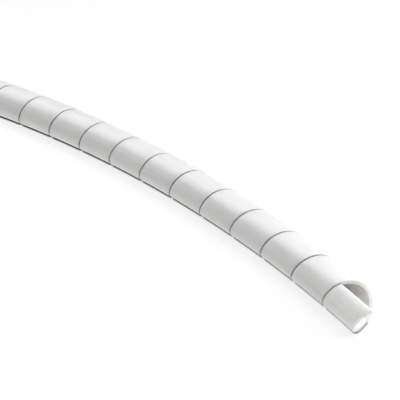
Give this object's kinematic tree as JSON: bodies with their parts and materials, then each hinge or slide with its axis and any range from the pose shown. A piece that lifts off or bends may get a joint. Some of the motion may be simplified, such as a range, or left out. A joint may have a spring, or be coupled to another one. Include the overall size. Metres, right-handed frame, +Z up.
{
  "type": "spiral cable wrap",
  "caption": "Length of plastic tube slit along a left-handed spiral into one band around an open bore, gently bowed, for bundling and protecting cables.",
  "frame": {"origin": "on the floor under the middle of the bounding box", "axes": "+Z up, the tube lying on the floor; the bore leaves the near end along -X and the far end along +Y, and the bow lies in the XY plane"},
  "size_m": [0.6596, 0.6386, 0.02],
  "materials": {
    "plastic": "natural low-density polyethylene, waxy satin"
  },
  "bodies": {
    "root": {"spiral_band": "plastic"}
  },
  "joints": []
}
